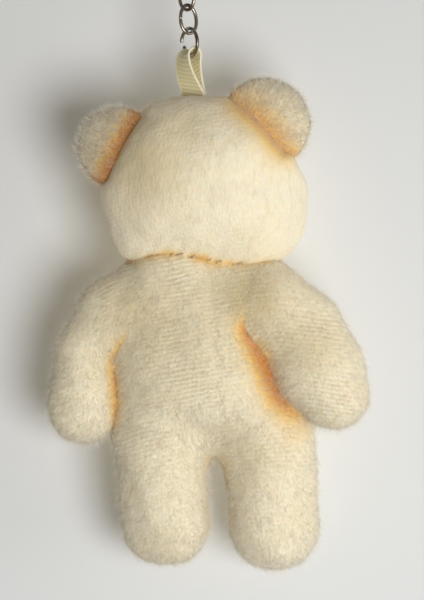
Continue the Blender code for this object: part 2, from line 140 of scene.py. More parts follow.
# Ears: half discs that stand on a straight root line
EAR_RADIUS = 10.9  # from the root line to the rim
EAR_REACH = {"left": 9.9, "right": 11.3}  # half the length of the root line
EAR_SLIDE = {"left": 0.6, "right": 0.0}  # of the ear along that line
EAR_SINK = {"left": 0.2, "right": 0.5}  # of the ear into the head
EAR_HALF_DEPTH = 3.3
EAR_DENTS = (0.8, 1.5)  # of the head behind the left and the right ear
EAR_BACK = 1.2  # how far the ears stand behind the middle of the head
EAR_LEAN = {"left": radians(56.5), "right": radians(-58.5)}
EAR_OUT = {side: np.array([sin(lean), 0.0, cos(lean)]) for side, lean in EAR_LEAN.items()}
EAR_ALONG = {side: np.array([out[2], 0.0, -out[0]]) for side, out in EAR_OUT.items()}


def smooth_cut(a, b, k):
    """The larger of two fields, rounded where they meet."""
    return -smooth_union(-a, -b, k)


def with_seam_wave(p):
    """Points moved so that both forms at the neck share its wavy seam."""
    q = p.copy()
    q[:, 2] -= SEAM_WAVE * bell(p[:, 2] - NECK[2], 6.0) * np.sin(p[:, 0] / 5.6)
    return q


def head_field(p):
    p = with_seam_wave(p)
    q = turned(p, HEAD_CENTRE, HEAD_TILT)
    half_height = np.where(q[:, 2] > 0, 21.4, 22.6)
    low_left = smoothstep(0, -16, q[:, 2]) * smoothstep(-6, 14, q[:, 0])
    half_width = 25.6 - 1.9 * low_left + 0.6 * smoothstep(0, -10, q[:, 0]) + 0.8 * smoothstep(0, 12, q[:, 0])
    half_depth = 18.4 - 1.0 * smoothstep(-4, -20, q[:, 2])
    squareness = np.where(q[:, 2] > 0, 2.45, 3.2) + 0.4 * smoothstep(-2, -12, q[:, 0])
    field = pillow_field(q, half_width, half_height, half_depth, squareness)
    for side, dent in zip(SIDES, EAR_DENTS):
        away = p - EAR_BASE[side]
        root = away @ EAR_OUT[side] + EAR_SINK[side]
        field = smooth_cut(field, root - 0.6, 2.4)
        beside = np.abs(away @ EAR_ALONG[side])
        groove = bell(root + 0.6, 2.8) * smoothstep(11.5, 8.0, beside)
        field = field + dent * groove * smoothstep(-1, 3, away[:, 1])
    return field


# The crease where the right arm is sewn against the back, as offsets from the shoulder joint
ARMPIT_TOP = SHOULDER["right"] + np.array([12.0, 0.0, 0.0])
ARMPIT_END = SHOULDER["right"] + np.array([1.5, 0.0, -24.0])
ARMPIT_DENT = 1.9


def armpit_distance(p):
    """Distance in XZ from the right armpit crease."""
    line = ARMPIT_END - ARMPIT_TOP
    q = p - ARMPIT_TOP
    share = np.clip((q[:, 0] * line[0] + q[:, 2] * line[2]) / (line @ line), 0, 1)
    return np.hypot(q[:, 0] - share * line[0], q[:, 2] - share * line[2])


def torso_field(p):
    q = with_seam_wave(p) - TORSO_CENTRE
    half_width = 19.5 + 3.4 * smoothstep(24, -2, q[:, 2]) - 0.3 * smoothstep(-4, -20, q[:, 2])
    half_width = half_width + 2.6 * smoothstep(3, 15, q[:, 0]) * smoothstep(22, 9, q[:, 2])
    half_height = np.where(q[:, 2] > 0, 35.0, 20.6)
    half_depth = 16.8 - 0.6 * smoothstep(-8, -20, q[:, 2])
    field = pillow_field(q, half_width, half_height, half_depth, 3.4)
    return field + ARMPIT_DENT * bell(armpit_distance(p), 3.6) * smoothstep(0, 6, p[:, 1])


LIMBS = {  # depth as a share of width, then balls from the body outwards: place from the joint, and radius
    "arm_left": (0.95, (-14.2, -1.5, 4.8, 9.9), (-4.4, -0.8, 2.3, 9.2), (3.6, -0.3, -5.6, 6.4),
                 (4.7, 0.0, -15.5, 7.8), (5.6, 0.0, -20.6, 7.9)),
    "arm_right": (0.88, (5.4, 0.5, 4.0, 10.1), (-0.9, 1.0, -1.5, 9.8), (-4.4, 1.5, -10.0, 10.1),
                  (-7.6, 2.0, -17.2, 8.4)),
    "leg_left": (1.0, (0.0, 0.0, 4.7, 11.0), (0.0, 0.0, -14.3, 10.7)),
    "leg_right": (1.0, (0.2, 0.0, 4.7, 11.2), (0.2, 0.0, -17.3, 11.0)),
}
BALL_SOFTNESS = 3.0  # where the balls of a limb run together


def limb_field(p, name):
    kind, side = name.split("_")
    joint = (SHOULDER if kind == "arm" else HIP)[side]
    depth, *balls = LIMBS[name]
    field = None
    for (*start, start_r), (*end, end_r) in zip(balls, balls[1:]):
        length = cone_field(p, joint + start, joint + end, start_r, end_r, depth)
        field = length if field is None else smooth_union(field, length, BALL_SOFTNESS)
    return field


HIP_SOFTNESS = 6.0


def shoulder_softness(p, side):
    """Broad over the shoulder, tight in the armpit crease."""
    height = p[:, 2] - SHOULDER[side][2]
    return 1.8 + 6.2 * smoothstep(-6, 5, height)


def body_field(p):
    field = torso_field(p)
    for side in SIDES:
        field = smooth_union(field, limb_field(p, f"leg_{side}"), HIP_SOFTNESS)
    for side in SIDES:
        field = smooth_union(field, limb_field(p, f"arm_{side}"), shoulder_softness(p, side))
    return field


GRADIENT_STEP = 0.05


def gradient(field, p):
    g = np.empty_like(p)
    for axis in range(3):
        move = np.zeros(3)
        move[axis] = GRADIENT_STEP
        g[:, axis] = (field(p + move) - field(p - move)) / (2 * GRADIENT_STEP)
    return g


def moved_onto(field, p, steps, height=0.0):
    """Points moved along a field's slope to a height over its surface."""
    for _ in range(steps):
        g = gradient(field, p)
        p = p - ((field(p) - height) / np.maximum((g**2).sum(axis=1), 0.3))[:, None] * g
    return p


def ball_directions(levels):
    bm = bmesh.new()
    bmesh.ops.create_icosphere(bm, subdivisions=levels, radius=1)
    points = np.array([v.co for v in bm.verts])
    faces = np.array([[v.index for v in f.verts] for f in bm.faces])
    bm.free()
    return points / np.linalg.norm(points, axis=1)[:, None], faces


BALLS = {levels: ball_directions(levels) for levels in (5, 6)}
HALVINGS = 24


def crossing(field, start, directions, reach):
    """Points where rays that start inside a form leave it."""
    low = np.zeros(len(directions))
    high = np.full(len(directions), reach)
    for _ in range(HALVINGS):
        middle = (low + high) / 2
        inside = field(start + middle[:, None] * directions) < 0
        low = np.where(inside, middle, low)
        high = np.where(inside, high, middle)
    return start + low[:, None] * directions


def surface_of(field, centre, levels, reach=60.0):
    """Points on a star-shaped field's zero, seen from its centre, and the faces that join them."""
    directions, faces = BALLS[levels]
    return crossing(field, centre, directions, reach), faces


def body_reach(p):
    """How deep inside the whole body a piece's own surface may lie and still be drawn out to it."""
    soft = np.where(p[:, 0] > 0, shoulder_softness(p, "left"), shoulder_softness(p, "right"))
    return np.maximum(soft, HIP_SOFTNESS) / 4 + 1.6


def filled_to_body(points):
    """Moves a piece's points out to the surface of the whole body, and leaves those deep inside it."""
    share = 1 - smoothstep(0, 1, (-body_field(points) / body_reach(points) - 1) / 0.7)
    return points + share[:, None] * (moved_onto(body_field, points, 5) - points)


def normals_of(points, faces):
    corners = points[faces]
    flat = np.cross(corners[:, 1] - corners[:, 0], corners[:, 2] - corners[:, 0])
    normals = np.zeros_like(points)
    for i in range(3):
        np.add.at(normals, faces[:, i], flat)
    return normals / np.maximum(np.linalg.norm(normals, axis=1), 1e-12)[:, None]


def noise_at(points, size, shift=(0.0, 0.0, 0.0)):
    """Smooth noise of a given size. noise_vector isn't used: it gives other values each run."""
    shift = Vector(shift)
    return np.array([noise.noise(Vector(p) / size + shift) for p in points])


def lumps(points, size, seed):
    """Slow unevenness of the stuffing, about -1 to 1."""
    return noise_at(points, size, (seed * 3.1, seed * 1.7, seed * 0.9)) * 2


# ------- meshes and materials


def new_mesh_object(name, points, faces):
    mesh = bpy.data.meshes.new(name)
    mesh.vertices.add(len(points))
    mesh.vertices.foreach_set("co", (np.asarray(points) * MM).astype(np.float32).ravel())
    faces = np.asarray(faces, np.int32)
    sides = faces.shape[1]
    mesh.loops.add(faces.size)
    mesh.loops.foreach_set("vertex_index", faces.ravel())
    mesh.polygons.add(len(faces))
    mesh.polygons.foreach_set("loop_start", np.arange(len(faces), dtype=np.int32) * sides)
    mesh.polygons.foreach_set("use_smooth", np.full(len(faces), True))
    mesh.update(calc_edges=True)
    obj = bpy.data.objects.new(name, mesh)
    scene.collection.objects.link(obj)
    return obj


def set_attribute(obj, name, values):
    attribute = obj.data.attributes.new(name, "FLOAT", "POINT")
    attribute.data.foreach_set("value", np.asarray(values, np.float32))


def new_material(name, colour, roughness, **sockets):
    material = bpy.data.materials.new(name)
    material.use_nodes = True
    shader = material.node_tree.nodes["Principled BSDF"]
    shader.inputs["Base Color"].default_value = (*colour, 1)
    shader.inputs["Roughness"].default_value = roughness
    for socket, value in sockets.items():
        shader.inputs[socket.replace("_", " ")].default_value = value
    return material


class Nodes:
    """Short ways to add and link shader nodes of one material."""

    def __init__(self, material):
        self.tree = material.node_tree
        self.shader = self.tree.nodes["Principled BSDF"]

    def add(self, kind, inputs=(), **settings):
        node = self.tree.nodes.new(kind)
        for key, value in settings.items():
            setattr(node, key, value)
        for socket, value in dict(inputs).items():
            self.join(value, node.inputs[socket])
        return node

    def join(self, value, socket):
        if isinstance(value, bpy.types.NodeSocket):
            self.tree.links.new(value, socket)
        elif isinstance(value, tuple) and len(value) == 3 and socket.type == "RGBA":
            socket.default_value = (*value, 1)
        else:
            socket.default_value = value

    def maths(self, operation, a, b=0.0, clamp=False):
        node = self.add("ShaderNodeMath", {0: a, 1: b}, operation=operation, use_clamp=clamp)
        return node.outputs[0]

    def times(self, product, *factors):
        for factor in factors:
            product = self.maths("MULTIPLY", product, factor)
        return product

    def attribute(self, name):
        return self.add("ShaderNodeAttribute", attribute_name=name).outputs["Fac"]

    def noise(self, scale, detail=2.0, vector=None, roughness=0.5):
        inputs = {"Scale": scale, "Detail": detail, "Roughness": roughness}
        if vector is not None:
            inputs["Vector"] = vector
        return self.add("ShaderNodeTexNoise", inputs).outputs["Fac"]

    def mix(self, factor, a, b):
        node = self.add("ShaderNodeMix", data_type="RGBA")
        self.join(factor, node.inputs["Factor"])
        self.join(a, node.inputs[6])
        self.join(b, node.inputs[7])
        return node.outputs[2]

    def range(self, value, low, high, to_low=0.0, to_high=1.0):
        inputs = {"Value": value, "From Min": low, "From Max": high, "To Min": to_low, "To Max": to_high}
        return self.add("ShaderNodeMapRange", inputs).outputs["Result"]

    def place(self):
        return self.add("ShaderNodeTexCoord").outputs["Object"]

    def bump(self, height, strength, distance):
        node = self.add("ShaderNodeBump", {"Height": height, "Strength": strength, "Distance": distance})
        self.tree.links.new(node.outputs["Normal"], self.shader.inputs["Normal"])


CREAM = (0.86, 0.77, 0.545)
# Darker cream: for random dull speckle, and for painted shade in the knit grooves.
CREAM_LOW = (0.60, 0.49, 0.29)
CREAM_HIGH = (0.93, 0.88, 0.74)
STRAW = (0.61, 0.49, 0.26)
# The next two colours are painted warm shade in the creases; the third is painted shade in the gaps between
# knit loops.
GOLD_CREASE_SHADE = (0.83, 0.55, 0.17)
AMBER_CREASE_SHADE = (0.62, 0.25, 0.045)
GAP_SHADE = (0.34, 0.28, 0.16)
ROW_PITCH = 1.12  # from one knit row to the next
DOT_PITCH = 0.85  # from one gap between loops to the next


def plush_material(name, rows, speckle, streak):
    """Napped knit: pale loops in rows, with painted shade in the grooves between rows and in the small gaps
    between loops, and painted warm shade in the creases.
    """
    material = new_material(name, CREAM, 0.95, Sheen_Weight=0.35, Sheen_Roughness=0.6, Subsurface_Weight=0.25,
                            Subsurface_Scale=0.0016)
    n = Nodes(material)
    n.shader.inputs["Subsurface Radius"].default_value = (1.0, 0.55, 0.25)
    n.shader.inputs["Sheen Tint"].default_value = (1.0, 0.93, 0.8, 1)
    place = n.place()
    combed = n.add("ShaderNodeMapping", {"Vector": place, "Scale": (1.0, 1.0, streak)}).outputs[0]
    ridge = n.maths("SINE", n.times(n.attribute("course"), 2 * pi / ROW_PITCH))
    patch = n.range(n.noise(75, 3, place), 0.36, 0.62)
    rows_here = n.times(patch, n.attribute("knit"), rows)
    out_of_groove = n.range(ridge, -1.0, 0.5)
    stitch = n.maths("SINE", n.times(n.attribute("wale"), 2 * pi / DOT_PITCH))
    gap_shade = n.times(n.range(ridge, -0.2, -0.95), n.range(stitch, 0.1, 0.85))
    gap_shade = n.times(gap_shade, n.range(n.noise(900, 2, place), 0.42, 0.6))
    fine = n.range(n.noise(1500, 3, combed), 0.3, 0.7)
    tone = n.mix(n.times(fine, 0.55), CREAM, CREAM_HIGH)
    dull = n.range(n.noise(speckle, 3, combed, 0.6), 0.52, 0.68)
    tone = n.mix(n.times(dull, 0.25), tone, CREAM_LOW)
    straw_patch = n.range(n.noise(42, 2, place), 0.46, 0.66, 0.0, 0.3)
    straw_patch = n.maths("ADD", straw_patch, n.attribute("straw_patch"), clamp=True)
    tone = n.mix(n.times(straw_patch, 0.8), tone, STRAW)
    # Painted shade in the grooves between knit rows.
    tone = n.mix(n.times(n.maths("SUBTRACT", 1.0, out_of_groove), rows_here, 0.34), tone, CREAM_LOW)
    # Painted shade in the gaps between loops.
    tone = n.mix(n.times(gap_shade, rows_here, 0.55), tone, GAP_SHADE)
    # Painted warm shade in the creases: yellow-orange, then deep orange where strongest.
    crease_shade = n.attribute("crease_shade")
    tone = n.mix(n.range(crease_shade, 0.0, 0.5), tone, GOLD_CREASE_SHADE)
    tone = n.mix(n.range(crease_shade, 0.45, 1.0), tone, AMBER_CREASE_SHADE)
    n.join(tone, n.shader.inputs["Base Color"])
    n.bump(n.maths("ADD", n.times(ridge, rows_here, 0.5), fine), 0.45, 0.00025)
    return material


# The last two kinds of fibre are painted warm shade in the creases.
FIBRES = [
    new_material("fibre_" + kind, colour, 0.9, Sheen_Weight=0.3, Sheen_Roughness=0.5)
    for kind, colour in (
        ("cream", (0.87, 0.79, 0.59)),
        ("pale", (0.94, 0.90, 0.79)),
        ("straw", (0.69, 0.57, 0.34)),
        ("gold_crease_shade", (0.86, 0.58, 0.22)),
        ("amber_crease_shade", (0.74, 0.31, 0.06)),
    )
]
STRAW_KIND, GOLD_SHADE_KIND, AMBER_SHADE_KIND = 2, 3, 4
PLUSH = {  # by slot
    "head_plush": plush_material("head_plush", 0.2, 620, 0.45),
    "body_plush": plush_material("body_plush", 1.0, 420, 0.5),
}


def course_of(p):
    """Height of the knit row that passes through each point. Rows rise towards -X and follow the arms."""
    def ramp(x):
        return np.logaddexp(0, x / 3) * 3

    x = p[:, 0]
    slopes = 0.1 * x + 0.42 * ramp(x - 22) + 0.34 * ramp(-x - 17)
    return p[:, 2] + slopes + 0.35 * noise_at(p, 5.0)


def straw_patches_at(p):
    """Broad straw-coloured patches at given places on the head, torso, shoulders and right hip."""
    patches = (
        (HEAD_CENTRE + [15.0, 0.0, 4.0], 12.0, 0.85),
        (HEAD_CENTRE + [5.0, 0.0, 15.0], 8.0, 0.12),
        (TORSO_CENTRE + [13.0, 0.0, 6.0], 10.0, 0.25),
        (TORSO_CENTRE + [-11.0, 0.0, 7.0], 10.0, 0.5),
        (SHOULDER["left"] + [-9.0, 0.0, 4.0], 7.0, 0.6),
        (SHOULDER["right"] + [11.0, 0.0, 9.0], 7.0, 0.7),
        (SHOULDER["right"] + [-4.0, 0.0, -4.0], 6.0, 0.35),
        (HIP["right"] + [4.0, 0.0, 2.0], 8.0, 0.25),
    )
    total = np.zeros(len(p))
    for centre, size, strength in patches:
        total += strength * np.exp(-(((p[:, 0] - centre[0]) ** 2 + (p[:, 2] - centre[2]) ** 2) / size**2))
    return total


def knit_at(p):
    """How clearly the knit rows show through the nap: less on the left arm, least on the legs."""
    shown = 1 - 0.65 * smoothstep(HIP["left"][2] + 12, HIP["left"][2] - 4, p[:, 2])
    return shown * (1 - 0.55 * smoothstep(24, 31, p[:, 0]))


def add_skin(name, points, faces, slot, crease_shade):
    obj = new_mesh_object(name + "_skin", points, faces)
    obj.data.materials.append(PLUSH[slot])
    attributes = {
        "course": course_of(points),
        "wale": points[:, 0] + points[:, 1],
        "crease_shade": crease_shade,
        "straw_patch": straw_patches_at(points),
        "knit": knit_at(points),
    }
    for attribute, values in attributes.items():
        set_attribute(obj, attribute, values)
    return obj


def circle(count):
    """Angles at equal steps once round."""
    return 2 * pi * np.arange(count) / count


def unit(vectors):
    return vectors / np.maximum(np.linalg.norm(vectors, axis=-1, keepdims=True), 1e-9)


COMB_SHIFTS = ([9.3, -1.5, -8.0], [0.0, 0.0, 0.0], [6.3, 11.1, -3.5])  # one for each axis


def comb(points, size, seed):
    """Slow sweep of the nap, the same for neighbouring fibres."""
    shift = seed * np.array([1.3, 2.1, 0.7])
    return np.stack([noise_at(points, size, shift + apart) for apart in COMB_SHIFTS], axis=1)


class Roots:
    """Random places on a skin where fibres stand."""

    def __init__(self, cloth, count, keep, rng):
        points, faces, crease_shade = cloth
        corners = points[faces]
        edges = np.cross(corners[:, 1] - corners[:, 0], corners[:, 2] - corners[:, 0])
        area = np.linalg.norm(edges, axis=1) * keep[faces].mean(axis=1)
        chosen = rng.choice(len(faces), count, p=area / area.sum())
        share = rng.random((count, 2))
        flip = share.sum(axis=1) > 1
        share[flip] = 1 - share[flip]
        weights = np.column_stack([1 - share.sum(axis=1), share])
        self.place = (corners[chosen] * weights[:, :, None]).sum(axis=1)
        self.out = unit((normals_of(points, faces)[faces[chosen]] * weights[:, :, None]).sum(axis=1))
        self.crease_shade = (crease_shade[faces[chosen]] * weights).sum(axis=1)


def triangle(centre, radius, direction, reference):
    """The three corners of each fibre's cross-section."""
    across = unit(np.cross(direction, reference))
    other = np.cross(direction, across)
    corners = []
    for i in range(3):
        angle = 2 * pi * i / 3
        corners.append(centre + radius * (cos(angle) * across + sin(angle) * other))
    return np.stack(corners, axis=1)


def add_fibres(name, rings, tips, crease_shade, straw, shares, rng):
    """Closed triangular spikes: rings is (fibre, ring, corner, axis), and each fibre ends in a tip."""
    count, steps = rings.shape[:2]
    points = np.concatenate([rings.reshape(count, -1, 3), tips[:, None]], axis=1)
    one = [(0, 2, 1)]
    for step in range(steps - 1):
        for i in range(3):
            a, b = 3 * step + i, 3 * step + (i + 1) % 3
            one += [(a, b, b + 3), (a, b + 3, a + 3)]
    last = 3 * (steps - 1)
    one += [(last + i, last + (i + 1) % 3, 3 * steps) for i in range(3)]
    first = (3 * steps + 1) * np.arange(count)[:, None, None]
    obj = new_mesh_object(name, points.reshape(-1, 3), (first + np.array(one)).reshape(-1, 3))
    for material in FIBRES:
        obj.data.materials.append(material)
    kind = rng.choice(3, count, p=shares)
    # Straw fibres: the straw patches, and painted shade in the knit grooves.
    kind = np.where(rng.random(count) < 0.8 * straw, STRAW_KIND, kind)
    # Yellow-orange and deep orange fibres: painted warm shade in the creases, deeper where it is strongest.
    kind = np.where(rng.random(count) < crease_shade, GOLD_SHADE_KIND, kind)
    deep = rng.random(count) < smoothstep(0.35, 0.9, crease_shade)
    kind = np.where((kind == GOLD_SHADE_KIND) & deep, AMBER_SHADE_KIND, kind)
    obj.data.polygons.foreach_set("material_index", np.repeat(kind, len(one)).astype(np.int32))
    return obj


# Layers of pile: length as a share of the coat's, width, lean with the nap, clumping, straying
UNDERCOAT = (0.8, 0.08, 0.5, 0.2, 0.26)
NAP = (1.3, 0.045, 0.64, 0.16, 0.24)
PILE_SHARES = (0.48, 0.4, 0.12)  # of cream, pale and straw fibres
HAIR_SHARES = (0.25, 0.72, 0.03)
HAIR_LENGTH = 1.9  # as a share of the coat's
HAIR_WIDTH = 0.055
HAIR_STEPS = 3
HAIRS_PER_FIBRE = 4  # one hair for so many fibres of the undercoat
PLY = 100  # share of the pile made, in percent


def fibres(count):
    return count * PLY // 100


def add_pile(name, cloth, count, length, look, nap, seed, slot, keep):
    """Fabric pile: short spikes that lean with the nap in clumps."""
    share, width, lean, clump, stray = look
    rng = np.random.default_rng(seed)
    root = Roots(cloth, count, keep, rng)
    along = nap - (nap * root.out).sum(axis=1)[:, None] * root.out
    sweep = clump * comb(root.place, 3.6, seed) + 0.3 * clump * comb(root.place, 1.0, seed + 9)
    direction = root.out * (1 - lean) + along * lean + sweep + rng.normal(0, stray, root.out.shape)
    direction = unit(direction)
    low = (direction * root.out).sum(axis=1) < 0.12
    direction = unit(np.where(low[:, None], direction + 0.4 * root.out, direction))
    row = np.sin(course_of(root.place) * 2 * pi / ROW_PITCH)
    groove = (0.3 if slot == "head_plush" else 1.0) * knit_at(root.place) * smoothstep(0.4, -0.8, row)
    size = share * length * (rng.uniform(0.5, 1.3, count) * (1 - 0.35 * groove))[:, None]
    base = root.place - 0.25 * root.out
    rings = triangle(base, width / 2, direction, rng.normal(size=root.out.shape))[:, None]
    tips = base + direction * size + 0.12 * size * along
    # Straw fibres where the straw patches lie, plus painted shade: more straw fibres in the knit grooves.
    straw = straw_patches_at(root.place) + 0.4 * groove
    return add_fibres(name, rings, tips, root.crease_shade, straw, PILE_SHARES, rng)


def add_hairs(name, cloth, count, length, nap, seed, keep):
    """Long loose hairs that stand off the pile and curl."""
    rng = np.random.default_rng(seed)
    root = Roots(cloth, count, keep, rng)
    direction = unit(root.out + 0.7 * nap + rng.normal(0, 0.45, root.out.shape))
    bend = rng.normal(0, 0.3, root.out.shape)
    size = HAIR_LENGTH * length * rng.uniform(0.5, 1.4, count)[:, None] / HAIR_STEPS
    place = root.place - 0.2 * root.out
    rings = np.empty((count, HAIR_STEPS, 3, 3))
    for step in range(HAIR_STEPS):
        radius = HAIR_WIDTH / 2 * (1 - 0.6 * step / HAIR_STEPS)
        rings[:, step] = triangle(place, radius, direction, root.out + 0.01)
        place = place + direction * size
        direction = unit(direction + bend + 0.12 * nap)
    return add_fibres(name, rings, place, 0.7 * root.crease_shade, np.zeros(count), HAIR_SHARES, rng)


PANELS = ("_back_panel", "_front_panel")
STUFFED = (*PANELS, "_stuffing")


def add_cloth(name, cloth, slot, parts, coat, keep, nap=DOWN, warmth=0.0):
    """A skin that stands for CAD parts, with its coat of (fibres, length, seed). Returns the four meshes."""
    points, faces, crease_shade = cloth
    skin = add_skin(name, points, faces, slot, np.clip(crease_shade + warmth, 0, 1))
    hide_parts(*(name + part for part in parts))
    count, length, seed = coat
    hairs = fibres(count // HAIRS_PER_FIBRE)
    return [
        skin,
        add_pile(name + "_pile", cloth, fibres(count), length, UNDERCOAT, nap, seed, slot, keep),
        add_pile(name + "_nap", cloth, fibres(count), length, NAP, nap, seed + 100, slot, keep),
        add_hairs(name + "_hairs", cloth, hairs, length, nap, seed + 200, keep),
    ]


def blend_at_neck(piece):
    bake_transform(piece)


# ------- the bear's skins

BODY_SEED = 5
SEAM_DEPTH = 0.2
SEAM_WIDTH = 0.7
GATHER_PITCH = 3.1
BACK_SEAM_X = NECK[0] - 1.5
BACK_SEAM_DEPTH = 0.3
BACK_SEAM_WIDTH = 1.3


def seam_plane(points):
    """Y of the side seam of the body, which follows the arms."""
    x = points[:, 0]
    left = SHOULDER["left"][1] * smoothstep(14, 28, x)
    right = SHOULDER["right"][1] * smoothstep(-12, -24, x)
    return (left + right) * smoothstep(HIP["left"][2], SHOULDER["left"][2], points[:, 2])


def finish_form(points, normals, seam_y, seed):
    """Adds stuffing lumps and the side seam to a form. Pieces that meet share the seed."""
    shift = 0.3 * lumps(points, 9.0, seed) + 0.1 * lumps(points, 3.0, seed + 5)
    shift = shift - SEAM_DEPTH * bell(points[:, 1] - seam_y, SEAM_WIDTH)
    return points + shift[:, None] * normals


def body_normals(points):
    g = gradient(body_field, points)
    return g / np.maximum(np.linalg.norm(g, axis=1), 0.2)[:, None]


def gathers(points, other):
    """Small pleats where the hand stitches draw the neck in."""
    return 0.2 * near(other, 3.0) * np.sin(2 * pi * (points[:, 0] + 0.5 * points[:, 1]) / GATHER_PITCH)


def seam_shade_share(points):
    """How strong the painted shade in the neck seam's crease is along its length, stronger and weaker at
    random.
    """
    return np.clip(0.7 + 0.5 * lumps(points, 4.0, 77), 0.2, 1.0)


def ear_frame(p, side):
    """Points as seen from an ear: along its root line, backwards, and out of the head."""
    q = p - EAR_BASE[side]
    along = q @ EAR_ALONG[side] - EAR_SLIDE[side]
    return along, q[:, 1] - EAR_BACK, q @ EAR_OUT[side] + EAR_SINK[side]


def ear_root_distance(points, side):
    """Distance on the head to the line that an ear stands on."""
    u, v, w = ear_frame(points, side)
    across = np.where(v > 0, 0.8 * np.maximum(v - 4.0, 0), 1.5 * np.maximum(-v - 1.5, 0))
    return np.sqrt((u**2 / 20) ** 2 + w**2 + across**2)


def front_of_head(x, z):
    """The place on the front of the head at a given X and Z."""
    start = np.array([x, HEAD_CENTRE[1], z])
    return crossing(head_field, start, -BACK[None], 30.0)[0]


EYES = {side: front_of_head(*middle_of("eye_" + side)[[0, 2]]) for side in SIDES}


def build_head():
    points, faces = surface_of(head_field, HEAD_CENTRE, 6)
    normals = normals_of(points, faces)
    points = finish_form(points, normals, HEAD_CENTRE[1], 3)
    body = torso_field(points)
    shift = gathers(points, body)
    for eye in EYES.values():
        shift = shift - 0.6 * np.exp(-(((points - eye) ** 2).sum(axis=1) / 9.0))
    points = points + shift[:, None] * normals
    # Painted warm shade in the crease of the neck seam and at the ear roots.
    crease_shade = 0.6 * near(body, 1.1) * seam_shade_share(points)
    crease_shade = np.maximum(crease_shade, 0.5 * near(ear_root_distance(points, "left"), 1.6))
    crease_shade = np.maximum(crease_shade, 0.95 * near(ear_root_distance(points, "right") - 1.2, 5.6))
    keep = (1 - smoothstep(-1.0, -2.0, body)) * (1 - near(-muzzle_field(points) - 1, 0.5))
    cloth = (points, faces, crease_shade)
    for piece in add_cloth("head", cloth, "head_plush", STUFFED, (50000, 1.7, 11), keep):
        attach(piece, "head")


def ear_field(p, side):
    """A soft pouch: thickest in a ring near its rim, hollowed on the front, pinched at the root."""
    u, v, w = ear_frame(p, side)
    rim = np.sqrt((u / EAR_REACH[side]) ** 2 + (w / (EAR_RADIUS * 0.98)) ** 2)
    hollow = 1.6 * bell(rim, 0.55)
    cup = 0.045 * (u**2) / EAR_RADIUS
    return (np.sqrt(rim**2 + ((v + cup - hollow * 0.6 * (v < 0)) / EAR_HALF_DEPTH) ** 2) - 1) * EAR_HALF_DEPTH


def build_ear(side, seed):
    base = EAR_BASE[side]
    out = EAR_OUT[side]
    middle = base + EAR_SLIDE[side] * EAR_ALONG[side]
    points, faces = subdivided(*surface_of(lambda p: ear_field(p, side), middle, 5, 20.0))
    normals = normals_of(points, faces)
    rim = bell(points[:, 1] - base[1] - EAR_BACK, 0.5)
    points += (0.2 * lumps(points, 4.0, seed) - 0.25 * rim)[:, None] * normals
    inside = head_field(points)
    # Painted warm shade where the ear meets the head.
    crease_shade = 0.55 * near(inside - 0.2, 2.4) if side == "right" else 0.85 * near(inside - 0.2, 2.3)
    keep = 1 - smoothstep(-0.5, -1.5, inside)
    name = f"ear_{side}"
    cloth = (points, faces, crease_shade)
    coat = (12000, 1.2, seed)
    for piece in add_cloth(name, cloth, "head_plush", PANELS, coat, keep, nap=out, warmth=0.06):
        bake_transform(piece)


def armpit_crease_shade(points):
    # Painted warm shade in the right armpit crease.
    low = smoothstep(ARMPIT_TOP[2], ARMPIT_END[2], points[:, 2])
    fade = 1 - 0.75 * smoothstep(ARMPIT_END[2] + 8, ARMPIT_END[2] - 2, points[:, 2])
    return 0.95 * fade * near(armpit_distance(points) - 0.5, 2.8 + 1.8 * low) * smoothstep(0, 5, points[:, 1])


def torso_crease_shade(points, inner):
    # Painted warm shade in both armpit creases and along the neck seam.
    right = armpit_crease_shade(points)
    low = smoothstep(-6, -15, points[:, 2] - SHOULDER["left"][2])
    left = 0.8 * near(limb_field(points, "arm_left"), 2.0) * low
    return np.maximum(np.maximum(right, left), 0.7 * near(inner, 1.2) * seam_shade_share(points))


def build_torso():
    points, faces = surface_of(torso_field, TORSO_CENTRE, 6)
    points = filled_to_body(points)
    normals = body_normals(points)
    points = finish_form(points, normals, seam_plane(points), BODY_SEED)
    inner = head_field(points)
    behind = smoothstep(0, 5, points[:, 1])
    back_seam = BACK_SEAM_DEPTH * behind * bell(points[:, 0] - BACK_SEAM_X, BACK_SEAM_WIDTH)
    points = points + (gathers(points, inner) - back_seam)[:, None] * normals
    body = torso_field(points)
    limb = np.min([limb_field(points, name) for name in LIMBS], axis=0)
    keep = smoothstep(-2.0, 1.0, limb - body) * (1 - smoothstep(-1.0, -2.5, inner))
    cloth = (points, faces, torso_crease_shade(points, inner))
    for piece in add_cloth("torso", cloth, "body_plush", STUFFED, (48000, 1.25, 21), keep):
        blend_at_neck(piece)


def limb_crease_shade(kind, side, points):
    # Painted warm shade between the legs, in the right armpit crease and where the arms meet the torso.
    if kind == "leg":
        other = limb_field(points, "leg_right" if side == "left" else "leg_left")
        below = smoothstep(HIP[side][2] + 4, HIP[side][2], points[:, 2])
        inside = (0.5 if side == "left" else 0.3) * near(other - 3.0, 2.4) * below
        return np.maximum(inside, armpit_crease_shade(points))
    low = 1 - smoothstep(-5, 1, points[:, 2] - SHOULDER[side][2])
    return (0.5 if side == "right" else 0.65) * near(torso_field(points), 1.7) * low


def subdivided(points, faces):
    """The same mesh with each triangle split in four."""
    edges = np.sort(np.concatenate([faces[:, [0, 1]], faces[:, [1, 2]], faces[:, [2, 0]]]), axis=1)
    unique, index = np.unique(edges, axis=0, return_inverse=True)
    index = index.reshape(3, -1) + len(points)
    middle = points[unique].mean(axis=1)
    a, b, c = faces.T
    ab, bc, ca = index
    split = np.concatenate([
        np.stack([a, ab, ca], axis=1),
        np.stack([ab, b, bc], axis=1),
        np.stack([ca, bc, c], axis=1),
        np.stack([ab, bc, ca], axis=1),
    ])
    return np.concatenate([points, middle]), split


